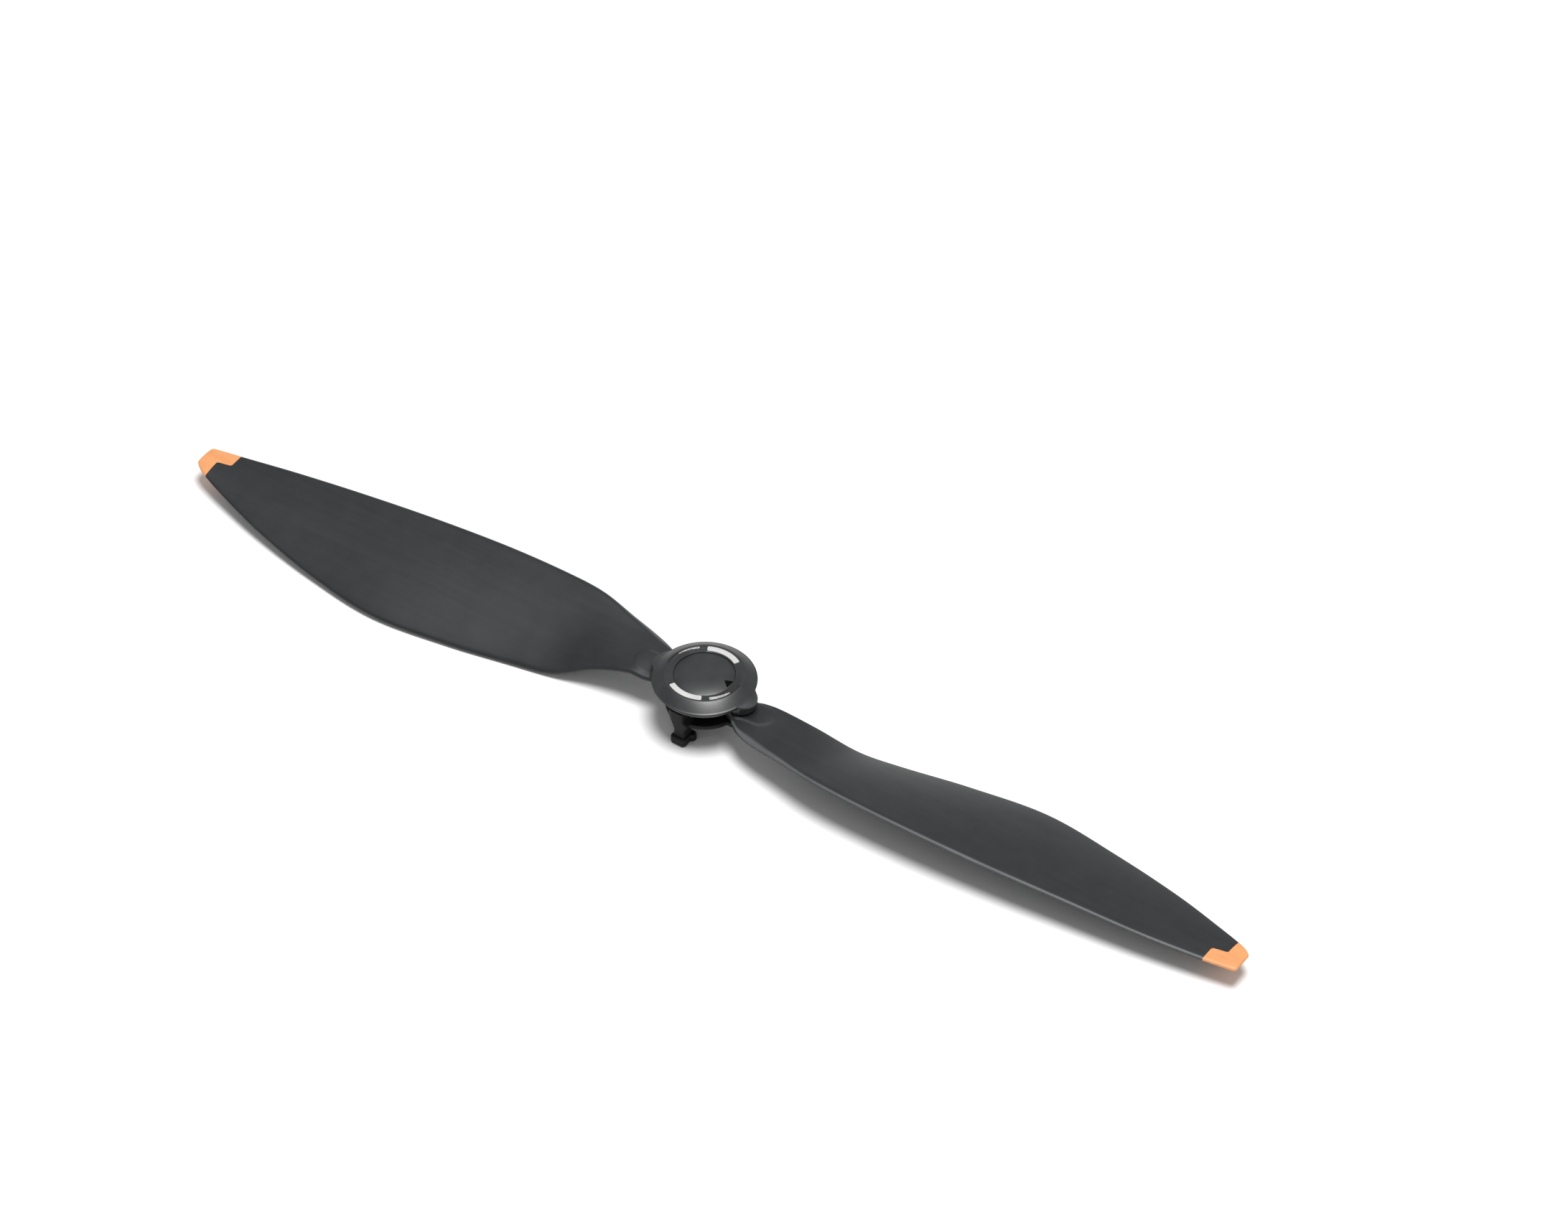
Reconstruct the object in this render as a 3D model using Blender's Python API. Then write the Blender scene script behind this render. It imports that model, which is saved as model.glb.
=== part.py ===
"""Folding quick-release rotor of a small camera drone, as separate solids.

Frame: the origin is on the spin axis at the level where the claws stand, +X runs along
blade a, and +Z is up. Seen from above the rotor turns clockwise, so blade a leads with its
-Y edge. Blade b is blade a turned half a turn about the spin axis.
"""
import math

import bmesh
import bpy
from mathutils import Matrix, Vector

MM = 0.001

# Hub heights, from the surface that the claws stand on
RING_HEIGHT = 11.75 * MM            # shoulder that carries the coloured arcs
DOME_RISE = 0.3 * MM
CAP_EDGE_HEIGHT = RING_HEIGHT - 1.55 * MM
CAP_RIM_BOTTOM = RING_HEIGHT - 2.85 * MM
CAP_UNDERSIDE = RING_HEIGHT - 2.9 * MM
EAR_TOP = RING_HEIGHT - 1.95 * MM
EAR_BOTTOM = RING_HEIGHT - 3.5 * MM
ROOT_TOP = 7.7 * MM
ROOT_BOTTOM = 5.6 * MM
PLATE_TOP = 5.05 * MM
PLATE_BOTTOM = 4.05 * MM
SEAT_HEIGHT = 3.5 * MM             # face that lands on the motor
FOOT_THICKNESS = 1.8 * MM

# Hub radii
CAP_RADIUS = 10.0 * MM
SHOULDER_RADIUS = 7.4 * MM
ARC_OUTER = 7.25 * MM
ARC_INNER = 6.1 * MM
DISC_RADIUS = 5.9 * MM
PLATE_RADIUS = 7.5 * MM
BOSS_RADIUS = 3.6 * MM
BUSHING_OUTER = 2.6 * MM
BUSHING_BORE = 1.9 * MM
UPPER_EAR_RADIUS = 3.0 * MM
LOWER_EAR_RADIUS = 2.8 * MM

# Fits
FIT_GAP = 0.15 * MM
POCKET_FLOOR = RING_HEIGHT - 0.9 * MM

# Coloured and glossy arcs, as (centre, half span) in degrees, repeated half a turn on
COLOUR_ARC = (-90.5, 30.5)
GLOSS_ARC = (-30.5, 17.5)

# Arrow on the centre disc: radii of its base and point, half width, offset from the +X line
ARROW_BASE = 5.45 * MM
ARROW_POINT = 4.3 * MM
ARROW_HALF_WIDTH = 0.9 * MM
ARROW_OFFSET = 0.2 * MM
ARROW_FLOOR = RING_HEIGHT - 0.35 * MM

# Web across the base plate
WEB_HALF_WIDTH = 1.4 * MM
WEB_HALF_LENGTH = 6.4 * MM
WEB_CORNER = 0.4 * MM

# Bayonet claws
CLAW_AZIMUTH = -91.0
LEG_HALF_WIDTH = 1.2 * MM
LEG_INNER = 5.6 * MM
LEG_OUTER = 8.5 * MM
LEG_CORNER = 0.35 * MM
HOOK_HALF_WIDTH = 1.7 * MM         # outer end of the foot, which hooks under the motor plate
HOOK_REACH = 9.1 * MM
BAR_HALF_WIDTH = 2.25 * MM         # wider bar across the foot, which turns into the lock
BAR_INNER = 5.2 * MM
BAR_OUTER = 6.9 * MM
FOOT_CORNER = 0.6 * MM

# Blade pivots
PIVOT_RADIUS = 8.5 * MM
ROOT_DISC_RADIUS = 3.1 * MM
SHOULDER_SHANK = 1.15 * MM
THREAD_RADIUS = 0.85 * MM
SCREW_HEAD_RADIUS = 1.9 * MM
SCREW_HEAD_HEIGHT = 0.85 * MM
SCREW_HEAD_CHAMFER = 0.3 * MM
SCREW_SOCKET_RADIUS = 0.75 * MM
SLEEVE_PLAY = 0.05 * MM            # by which the sleeve is shorter than its bore at each end
SLEEVE_OUTER = 1.75 * MM
SLEEVE_BORE = 1.35 * MM
WASHER_OUTER = 2.6 * MM
WASHER_THICKNESS = 0.25 * MM

# Blade stations in millimetres: radius, leading reach, trailing reach, leading edge height,
# trailing edge height, thickness
STATIONS = (
    (9.0, 4.3, 2.8, 6.65, 6.65, 1.7),
    (11.5, 5.9, 3.7, 6.75, 6.75, 1.7),
    (15.0, 7.1, 4.0, 6.95, 6.85, 1.75),
    (22.0, 8.45, 5.35, 7.75, 4.85, 1.7),
    (30.0, 10.0, 7.6, 8.55, 1.2, 1.6),
    (38.0, 10.5, 9.25, 8.55, 0.6, 1.5),
    (52.0, 10.4, 12.05, 8.2, 0.65, 1.35),
    (68.0, 9.55, 13.95, 7.45, 0.9, 1.25),
    (84.0, 8.1, 12.0, 6.65, 1.4, 1.1),
    (100.0, 6.45, 8.5, 5.55, 2.6, 0.95),
    (112.0, 4.7, 4.8, 4.85, 3.7, 0.85),
    (119.4, 3.45, 2.1, 4.6, 4.65, 0.75),
)
TIP_RADIUS = 119.4 * MM
TIP_BLEND_START = 104.0 * MM
TIP_SEAM_INNER = 112.9 * MM        # seam radius on the leading side
TIP_SEAM_OUTER = 115.9 * MM        # seam radius on the trailing side
TIP_SEAM_STEP = (0.1 * MM, 1.3 * MM)
TRAILING_CORNER = (3.2 * MM, 1.2 * MM)
LEADING_CORNER = (0.9 * MM, 0.6 * MM)
CAMBER = 0.03                      # share of the chord, reached at the radius below
FULL_CAMBER_RADIUS = 30.0 * MM
CHORD_STEPS = (0.0, 0.05, 0.16, 0.34, 0.54, 0.74, 0.9, 1.0)
EDGE_THICKNESS = (0.38, 0.55)      # trailing and leading edge, as shares of the thickness
BLADE_ROWS = 26
TIP_ROWS = 7


def clear_scene():
    for item in list(bpy.data.objects):
        bpy.data.objects.remove(item, do_unlink=True)


def make_material(name, colour, roughness, metallic=0.0):
    material = bpy.data.materials.new(name)
    material.use_nodes = True
    shader = material.node_tree.nodes["Principled BSDF"]
    shader.inputs["Base Color"].default_value = (*colour, 1.0)
    shader.inputs["Roughness"].default_value = roughness
    shader.inputs["Metallic"].default_value = metallic
    return material


def add_object(name, bm, material, origin=(0.0, 0.0, 0.0)):
    """Turn a bmesh in world coordinates into an object whose origin is at origin."""
    bmesh.ops.translate(bm, verts=bm.verts, vec=-Vector(origin))
    bmesh.ops.recalc_face_normals(bm, faces=bm.faces)
    mesh = bpy.data.meshes.new(name)
    bm.to_mesh(mesh)
    bm.free()
    mesh.shade_smooth()
    mesh.set_sharp_from_angle(angle=math.radians(35.0))
    item = bpy.data.objects.new(name, mesh)
    item.location = origin
    bpy.context.scene.collection.objects.link(item)
    if material is not None:
        mesh.materials.append(material)
    return item


def add_helper(name, bm):
    """A hidden shape that a Boolean modifier cuts with or joins on."""
    item = add_object(name, bm, None)
    item.hide_render = True
    item.display_type = "WIRE"
    return item


def combine(target, helper, operation):
    modifier = target.modifiers.new(helper.name, "BOOLEAN")
    modifier.operation = operation
    modifier.solver = "EXACT"
    modifier.object = helper


def turned(profile, segments=48):
    """Spin a (radius, height) profile about Z; it is closed unless it ends on the axis."""
    bm = bmesh.new()
    verts = [bm.verts.new((radius, 0.0, height)) for radius, height in profile]
    edges = [bm.edges.new(pair) for pair in zip(verts, verts[1:])]
    if profile[0][0] > 0.0:
        edges.append(bm.edges.new((verts[-1], verts[0])))
    bmesh.ops.spin(bm, geom=verts + edges, cent=(0, 0, 0), axis=(0, 0, 1),
                   angle=math.tau, steps=segments, use_merge=True)
    bmesh.ops.remove_doubles(bm, verts=bm.verts, dist=1e-7)
    bmesh.ops.dissolve_degenerate(bm, edges=bm.edges, dist=1e-7)
    return bm


def cylinder(radius, bottom, top, segments=32):
    bm = bmesh.new()
    bmesh.ops.create_cone(bm, cap_ends=True, segments=segments, radius1=radius,
                          radius2=radius, depth=top - bottom,
                          matrix=Matrix.Translation((0, 0, (top + bottom) / 2)))
    return bm


def ring(inner, outer, bottom, top, segments=32):
    return turned([(inner, bottom), (inner, top), (outer, top), (outer, bottom)], segments)


def prism(outline, bottom, top):
    """Extrude a closed (x, y) outline upwards."""
    bm = bmesh.new()
    base = bm.faces.new([bm.verts.new((x, y, bottom)) for x, y in outline])
    swept = bmesh.ops.extrude_face_region(bm, geom=[base])["geom"]
    raised = [item for item in swept if isinstance(item, bmesh.types.BMVert)]
    bmesh.ops.translate(bm, verts=raised, vec=(0, 0, top - bottom))
    return bm


def arc_points(centre, radius, start, end, steps):
    """Points along an arc, angles in degrees."""
    points = []
    for step in range(steps + 1):
        angle = math.radians(start + (end - start) * step / steps)
        points.append((centre[0] + radius * math.cos(angle),
                       centre[1] + radius * math.sin(angle)))
    return points


def rounded_box(x_low, x_high, y_low, y_high, corner, steps=4):
    points = []
    for index, (x, y) in enumerate((
            (x_high - corner, y_high - corner), (x_low + corner, y_high - corner),
            (x_low + corner, y_low + corner), (x_high - corner, y_low + corner))):
        points += arc_points((x, y), corner, 90 * index, 90 * index + 90, steps)
    return points


def sector(inner, outer, centre_angle, half_span, steps=12):
    """Outline of a ring sector."""
    low, high = centre_angle - half_span, centre_angle + half_span
    return (arc_points((0, 0), outer, low, high, steps)
            + arc_points((0, 0), inner, high, low, steps))


def foot_outline():
    """Claw foot seen from above, along +X: a bar across, and a hook that reaches outward."""
    corner = FOOT_CORNER
    bar_end = BAR_OUTER - corner
    side = BAR_HALF_WIDTH - corner
    half = arc_points((BAR_INNER + corner, side), corner, 180, 90, 4)
    half += arc_points((bar_end, side), corner, 90, 0, 4)
    half += [(BAR_OUTER + 0.1 * MM, HOOK_HALF_WIDTH)]
    half += arc_points((HOOK_REACH - corner, HOOK_HALF_WIDTH - corner), corner, 90, 0, 4)
    return half[::-1] + [(x, -y) for x, y in half]


def ear_outline(radius):
    """Two round lugs on the pivots, joined by straight flanks."""
    return (arc_points((PIVOT_RADIUS, 0), radius, -90, 90, 12)
            + arc_points((-PIVOT_RADIUS, 0), radius, 90, 270, 12))


def turn_about_z(bm, degrees):
    bmesh.ops.rotate(bm, verts=bm.verts, cent=(0, 0, 0),
                     matrix=Matrix.Rotation(math.radians(degrees), 3, "Z"))
    return bm


def moved(bm, x, y=0.0, z=0.0):
    bmesh.ops.translate(bm, verts=bm.verts, vec=(x, y, z))
    return bm


def smooth_value(radius, column):
    """Station value at a radius in millimetres, on a Catmull-Rom curve."""
    last = len(STATIONS) - 1
    index = 0
    while index < last - 1 and radius > STATIONS[index + 1][0]:
        index += 1
    start, end = STATIONS[index], STATIONS[index + 1]
    before = STATIONS[max(index - 1, 0)]
    after = STATIONS[min(index + 2, last)]
    span = end[0] - start[0]
    share = (radius - start[0]) / span
    slope_in = (end[column] - before[column]) / (end[0] - before[0]) * span
    slope_out = (after[column] - start[column]) / (after[0] - start[0]) * span
    square, cube = share ** 2, share ** 3
    return ((2 * cube - 3 * square + 1) * start[column] + (cube - 2 * square + share) * slope_in
            + (3 * square - 2 * cube) * end[column] + (cube - square) * slope_out)


def corner_cut(radius, corner):
    """How far the end rounding pulls an edge in, for a corner of (length, depth)."""
    length, depth = corner
    share = max(0.0, (radius - (TIP_RADIUS - length)) / length)
    return depth * (1.0 - math.sqrt(max(0.0, 1.0 - min(share, 1.0) ** 2)))


def section_point(radius, share, side):
    """Blade surface point; share is 0 at the trailing edge, side is 1 on top, -1 below."""
    station = radius / MM
    lead = smooth_value(station, 1) * MM - corner_cut(radius, LEADING_CORNER)
    trail = smooth_value(station, 2) * MM - corner_cut(radius, TRAILING_CORNER)
    lead_height = smooth_value(station, 3) * MM
    trail_height = smooth_value(station, 4) * MM
    thickness = smooth_value(station, 5) * MM
    reach = -trail + (lead + trail) * share
    bulge = 4.0 * share * (1.0 - share)
    edge = EDGE_THICKNESS[0] + (EDGE_THICKNESS[1] - EDGE_THICKNESS[0]) * share
    middle = trail_height + (lead_height - trail_height) * share
    middle += CAMBER * (lead + trail) * bulge * min(1.0, radius / FULL_CAMBER_RADIUS)
    half = 0.5 * thickness * (edge + (1.0 - edge) * math.sqrt(bulge))
    return Vector((radius, -reach, middle + side * half))


def seam_radius(share):
    """Radius of the S-shaped seam between blade and tip at a chord share."""
    point = section_point(TIP_SEAM_INNER, share, 1)
    low, high = TIP_SEAM_STEP
    across = min(1.0, max(0.0, (high + point.y) / (high - low)))
    ease = across * across * (3.0 - 2.0 * across)
    return TIP_SEAM_INNER + (TIP_SEAM_OUTER - TIP_SEAM_INNER) * ease


def loft(radius_at, rows):
    """Closed skin through sections; radius_at(row share, chord share) places each point."""
    bm = bmesh.new()
    loops = []
    for row in range(rows + 1):
        along = row / rows
        upper = [section_point(radius_at(along, share), share, 1) for share in CHORD_STEPS]
        lower = [section_point(radius_at(along, share), share, -1) for share in CHORD_STEPS]
        loops.append([bm.verts.new(point) for point in upper + lower[::-1]])
    count = len(loops[0])
    for inner, outer in zip(loops, loops[1:]):
        for index in range(count):
            follow = (index + 1) % count
            bm.faces.new((inner[index], inner[follow], outer[follow], outer[index]))
    half = count // 2
    for end in (loops[0], loops[-1]):
        for index in range(half - 1):
            bm.faces.new((end[index], end[index + 1],
                          end[count - 2 - index], end[count - 1 - index]))
    return bm


def blade_radius(along, share):
    start = STATIONS[0][0] * MM
    plain = start + (TIP_SEAM_OUTER - start) * along ** 0.9
    if plain <= TIP_BLEND_START:
        return plain
    part = (plain - TIP_BLEND_START) / (TIP_SEAM_OUTER - TIP_BLEND_START)
    return TIP_BLEND_START + (seam_radius(share) - TIP_BLEND_START) * part


def tip_radius(along, share):
    start = seam_radius(share) + FIT_GAP
    return start + (TIP_RADIUS - start) * math.sin(along * math.pi / 2)


def make_hub_base(material):
    outline = ear_outline(LOWER_EAR_RADIUS)
    item = add_object("hub_base", prism(outline, PLATE_BOTTOM, PLATE_TOP), material)
    combine(item, add_helper("base_round", cylinder(PLATE_RADIUS, PLATE_BOTTOM, PLATE_TOP, 48)),
            "UNION")
    boss_top = EAR_BOTTOM - 2 * FIT_GAP
    combine(item, add_helper("base_boss", cylinder(BOSS_RADIUS, SEAT_HEIGHT, boss_top)), "UNION")
    web = rounded_box(-WEB_HALF_WIDTH, WEB_HALF_WIDTH, -WEB_HALF_LENGTH, WEB_HALF_LENGTH,
                      WEB_CORNER)
    web_bottom = PLATE_TOP - 0.4 * MM
    combine(item, add_helper("base_web", prism(web, web_bottom, boss_top - 0.1 * MM)), "UNION")
    for index, turn in enumerate((0.0, 180.0)):
        leg = rounded_box(LEG_INNER, LEG_OUTER, -LEG_HALF_WIDTH, LEG_HALF_WIDTH, LEG_CORNER)
        leg_top = boss_top - 0.2 * MM
        leg_mesh = turn_about_z(prism(leg, FOOT_THICKNESS / 2, leg_top), CLAW_AZIMUTH + turn)
        foot_mesh = turn_about_z(prism(foot_outline(), 0.0, FOOT_THICKNESS), CLAW_AZIMUTH + turn)
        combine(item, add_helper(f"claw_leg_{index}", leg_mesh), "UNION")
        combine(item, add_helper(f"claw_foot_{index}", foot_mesh), "UNION")
    bore = cylinder(BUSHING_OUTER + FIT_GAP, SEAT_HEIGHT - MM, CAP_UNDERSIDE + MM)
    combine(item, add_helper("base_bore", bore), "DIFFERENCE")
    for index, x in enumerate((PIVOT_RADIUS, -PIVOT_RADIUS)):
        hole = moved(cylinder(SLEEVE_BORE, PLATE_BOTTOM - MM, PLATE_TOP + MM, 24), x)
        combine(item, add_helper(f"base_pivot_hole_{index}", hole), "DIFFERENCE")


def make_hub_cap(material):
    profile = [(0.0, CAP_UNDERSIDE), (CAP_RADIUS - 0.5 * MM, CAP_UNDERSIDE)]
    profile += [(CAP_RADIUS, CAP_RIM_BOTTOM + 0.2 * MM), (CAP_RADIUS, CAP_EDGE_HEIGHT - 0.25 * MM)]
    profile += [(CAP_RADIUS - 0.2 * MM, CAP_EDGE_HEIGHT)]
    profile += [(SHOULDER_RADIUS, RING_HEIGHT), (0.0, RING_HEIGHT + 0.1 * MM)]
    item = add_object("hub_cap", turned(profile, 64), material)
    ears = prism(ear_outline(UPPER_EAR_RADIUS), EAR_BOTTOM, EAR_TOP)
    combine(item, add_helper("cap_ears", ears), "UNION")
    disc_pocket = cylinder(DISC_RADIUS + FIT_GAP / 2, POCKET_FLOOR, RING_HEIGHT + MM, 64)
    combine(item, add_helper("cap_disc_pocket", disc_pocket), "DIFFERENCE")
    for index, (centre, half_span) in enumerate(arc_places()):
        pocket = sector(DISC_RADIUS - FIT_GAP, ARC_OUTER + FIT_GAP, centre, half_span + 1.0)
        pocket_mesh = prism(pocket, POCKET_FLOOR + 0.1 * MM, RING_HEIGHT + MM)
        combine(item, add_helper(f"cap_arc_pocket_{index}", pocket_mesh), "DIFFERENCE")
    for index, x in enumerate((PIVOT_RADIUS, -PIVOT_RADIUS)):
        hole = moved(cylinder(THREAD_RADIUS + FIT_GAP, EAR_BOTTOM - MM, EAR_TOP - 0.2 * MM, 24), x)
        combine(item, add_helper(f"cap_thread_{index}", hole), "DIFFERENCE")


def arc_places():
    """The coloured arcs, then the glossy ones, as (centre, half span) in degrees."""
    places = []
    for centre, half_span in (COLOUR_ARC, GLOSS_ARC):
        places += [(centre, half_span), (centre + 180.0, half_span)]
    return places


def make_arcs(colour_material, gloss_material):
    names = ("colour_arc_near", "colour_arc_far", "gloss_arc_near", "gloss_arc_far")
    materials = (colour_material, colour_material, gloss_material, gloss_material)
    floor = POCKET_FLOOR + 0.1 * MM + FIT_GAP
    for name, material, (centre, half_span) in zip(names, materials, arc_places()):
        outline = sector(ARC_INNER, ARC_OUTER, centre, half_span, 14)
        add_object(name, prism(outline, floor, RING_HEIGHT), material)


def make_centre_disc(material):
    rim = RING_HEIGHT - 0.05 * MM
    profile = [(0.0, POCKET_FLOOR + FIT_GAP), (DISC_RADIUS - FIT_GAP / 2, POCKET_FLOOR + FIT_GAP)]
    for step in range(7):
        share = step / 6
        radius = (DISC_RADIUS - FIT_GAP / 2) * (1.0 - share)
        profile.append((radius, rim + (DOME_RISE + 0.05 * MM) * (1.0 - (1.0 - share) ** 2)))
    item = add_object("centre_disc", turned(profile, 64), material)
    pocket = prism(arrow_outline(FIT_GAP), ARROW_FLOOR, RING_HEIGHT + MM)
    combine(item, add_helper("arrow_pocket", pocket), "DIFFERENCE")


def arrow_outline(grow=0.0):
    """Small triangle with its base at the disc's rim, beside blade a, pointing inward."""
    half = ARROW_HALF_WIDTH + 1.5 * grow
    return [(ARROW_POINT - 2 * grow, ARROW_OFFSET), (ARROW_BASE + grow, ARROW_OFFSET - half),
            (ARROW_BASE + grow, ARROW_OFFSET + half)]


def make_arrow(material):
    mark = prism(arrow_outline(), ARROW_FLOOR + FIT_GAP, RING_HEIGHT)
    add_object("release_arrow", mark, material)


def make_bushing(material):
    bm = ring(BUSHING_BORE, BUSHING_OUTER, SEAT_HEIGHT + FIT_GAP, EAR_BOTTOM - 3 * FIT_GAP, 40)
    add_object("motor_bushing", bm, material)


def make_pivot_hardware(letter, turn, metal, washer_material):
    """Shoulder screw, sleeve and two washers on one pivot."""
    pivot = Matrix.Rotation(turn, 3, "Z") @ Vector((PIVOT_RADIUS, 0, 0))
    head_top = PLATE_BOTTOM - FIT_GAP
    head_bottom = head_top - SCREW_HEAD_HEIGHT
    shoulder_top = EAR_BOTTOM - FIT_GAP
    chamfer = SCREW_HEAD_CHAMFER
    screw = turned([(0.0, head_bottom), (SCREW_HEAD_RADIUS - chamfer, head_bottom),
                    (SCREW_HEAD_RADIUS, head_bottom + chamfer), (SCREW_HEAD_RADIUS, head_top),
                    (SHOULDER_SHANK, head_top), (SHOULDER_SHANK, shoulder_top),
                    (THREAD_RADIUS, shoulder_top), (THREAD_RADIUS, EAR_TOP - 0.5 * MM),
                    (0.0, EAR_TOP - 0.4 * MM)], 24)
    item = add_object(f"pivot_screw_{letter}", moved(screw, pivot.x, pivot.y), metal, pivot)
    recess = bmesh.new()
    bmesh.ops.create_cone(recess, cap_ends=True, segments=6, radius1=SCREW_SOCKET_RADIUS,
                          radius2=SCREW_SOCKET_RADIUS, depth=MM,
                          matrix=Matrix.Translation((pivot.x, pivot.y, head_bottom)))
    combine(item, add_helper(f"screw_recess_{letter}", recess), "DIFFERENCE")
    sleeve = ring(SLEEVE_BORE, SLEEVE_OUTER, ROOT_BOTTOM + SLEEVE_PLAY, ROOT_TOP - SLEEVE_PLAY)
    add_object(f"pivot_sleeve_{letter}", moved(sleeve, pivot.x, pivot.y), metal, pivot)
    lower = PLATE_TOP + FIT_GAP
    upper = ROOT_TOP + FIT_GAP
    for name, bottom in ((f"lower_washer_{letter}", lower), (f"upper_washer_{letter}", upper)):
        washer = ring(SLEEVE_BORE, WASHER_OUTER, bottom, bottom + WASHER_THICKNESS)
        add_object(name, moved(washer, pivot.x, pivot.y), washer_material, pivot)


def make_blade(letter, turn, blade_material, tip_material):
    """Blade with its root disc, and the coloured tip section, both on the pivot axis."""
    rotation = Matrix.Rotation(turn, 3, "Z")
    pivot = rotation @ Vector((PIVOT_RADIUS, 0, 0))
    degrees = math.degrees(turn)
    blade = turn_about_z(loft(blade_radius, BLADE_ROWS), degrees)
    item = add_object(f"blade_{letter}", blade, blade_material, pivot)
    disc = moved(cylinder(ROOT_DISC_RADIUS, ROOT_BOTTOM, ROOT_TOP, 40), pivot.x, pivot.y)
    combine(item, add_helper(f"root_disc_{letter}", disc), "UNION")
    bore = moved(cylinder(SLEEVE_OUTER + FIT_GAP, ROOT_BOTTOM - MM, ROOT_TOP + MM), pivot.x, pivot.y)
    combine(item, add_helper(f"root_bore_{letter}", bore), "DIFFERENCE")
    tip = turn_about_z(loft(tip_radius, TIP_ROWS), degrees)
    add_object(f"blade_tip_{letter}", tip, tip_material, pivot)


def build():
    clear_scene()
    charcoal = make_material("charcoal_plastic", (0.055, 0.057, 0.06), 0.55)
    blade_plastic = make_material("blade_plastic", (0.05, 0.052, 0.056), 0.5)
    orange = make_material("orange_tip", (0.95, 0.38, 0.13), 0.45)
    mark = make_material("pale_mark", (0.8, 0.79, 0.77), 0.4)
    gloss = make_material("gloss_silver", (0.55, 0.55, 0.55), 0.2)
    dark = make_material("arrow_black", (0.012, 0.012, 0.012), 0.6)
    steel = make_material("steel", (0.55, 0.55, 0.56), 0.3, 1.0)
    polymer = make_material("washer_polymer", (0.03, 0.03, 0.032), 0.45)
    make_hub_base(charcoal)
    make_hub_cap(charcoal)
    make_arcs(mark, gloss)
    make_centre_disc(charcoal)
    make_arrow(dark)
    make_bushing(steel)
    for letter, turn in (("a", 0.0), ("b", math.pi)):
        make_pivot_hardware(letter, turn, steel, polymer)
        make_blade(letter, turn, blade_plastic, orange)


build()
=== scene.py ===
"""Looks of the folding quick-release propeller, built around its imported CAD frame.

Lengths are in metres. The frame's +X runs along blade a and +Z is up the spin axis. Each
CAD node is replaced by a finer piece of the same size in the same place, with rounded edges.
"""
import math

import bmesh
import bpy
from mathutils import Matrix, Vector


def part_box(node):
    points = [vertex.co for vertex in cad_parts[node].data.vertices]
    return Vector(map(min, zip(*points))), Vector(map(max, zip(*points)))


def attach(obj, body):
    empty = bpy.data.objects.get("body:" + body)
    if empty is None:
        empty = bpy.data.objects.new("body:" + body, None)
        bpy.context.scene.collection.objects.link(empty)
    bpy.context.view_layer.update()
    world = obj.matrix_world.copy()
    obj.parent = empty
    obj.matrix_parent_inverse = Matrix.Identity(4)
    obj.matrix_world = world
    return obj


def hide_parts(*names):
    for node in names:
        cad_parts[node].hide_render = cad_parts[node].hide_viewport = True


MM = 0.001

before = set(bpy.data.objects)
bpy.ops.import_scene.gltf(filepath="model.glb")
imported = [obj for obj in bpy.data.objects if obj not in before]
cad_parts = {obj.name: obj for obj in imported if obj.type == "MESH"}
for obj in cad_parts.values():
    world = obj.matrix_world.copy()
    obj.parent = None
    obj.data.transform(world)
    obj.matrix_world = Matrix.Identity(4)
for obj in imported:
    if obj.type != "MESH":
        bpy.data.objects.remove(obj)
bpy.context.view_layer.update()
scene = bpy.context.scene

# The photograph's framing
IMAGE_WIDTH = 2184
FOCAL_PIXELS = 9958.5
SENSOR = 36.0
CAMERA_PLACE = Vector((555.17, -784.42, 944.39)) * MM
CAMERA_RIGHT = Vector((0.825238, 0.564785, -0.000231))
CAMERA_UP = Vector((-0.389383, 0.569245, 0.724114))

# Heights of the hub, read from the frame
PALE_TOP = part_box("colour_arc_near")[1].z       # shoulder that carries the arcs
DOME_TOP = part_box("centre_disc")[1].z
CAP_BOTTOM = PALE_TOP - 2.85 * MM
EAR_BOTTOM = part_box("hub_cap")[0].z
PLATE_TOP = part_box("lower_washer_a")[0].z - 0.15 * MM
PLATE_BOTTOM = PLATE_TOP - 1.0 * MM
SEAT_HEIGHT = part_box("motor_bushing")[0].z - 0.15 * MM
BOSS_TOP = EAR_BOTTOM - 0.3 * MM
FOOT_TOP = 1.8 * MM
POCKET_FLOOR = PALE_TOP - 0.9 * MM
ARC_FLOOR = PALE_TOP - 0.5 * MM
ROOT_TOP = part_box("upper_washer_a")[0].z - 0.15 * MM
ROOT_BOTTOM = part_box("pivot_sleeve_a")[0].z - 0.05 * MM

# Radii and widths of the hub
CAP_RADIUS = 10.0 * MM
CONE_START = 7.5 * MM
CONE_DROP = 1.5 * MM
DISC_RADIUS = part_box("centre_disc")[1].x
ARC_INNER = 6.1 * MM
ARC_OUTER = 7.25 * MM
DISC_EDGE = 0.07 * MM
DISC_RIM = PALE_TOP - 0.3 * MM                  # top of the disc's rolled edge
DISC_PLAY = 0.03 * MM
DOME_POWER = 3.2
ARROW_CORNERS = ((4.35, 0.4), (5.55, -0.5), (5.55, 1.35))
POCKET_PLAY = 0.04 * MM
GROOVE_RADIUS = 7.4 * MM
GROOVE_FLOOR_HALF = 0.02 * MM
GROOVE_TOP_HALF = 0.06 * MM
GROOVE_DEPTH = 0.14 * MM
GROOVE_MIDDLE = -2.0                            # degrees, repeated half a turn on
GROOVE_HALF_SPAN = 12.0
RIM_EDGE = 0.2 * MM
RIM_STEPS = 12
WALL_FOOT = 0.14 * MM                           # rounding under the cap's wall
EAR_BLEND = 0.5 * MM
EAR_SLOPE = 0.42
PLATE_RADIUS = 7.5 * MM
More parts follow.
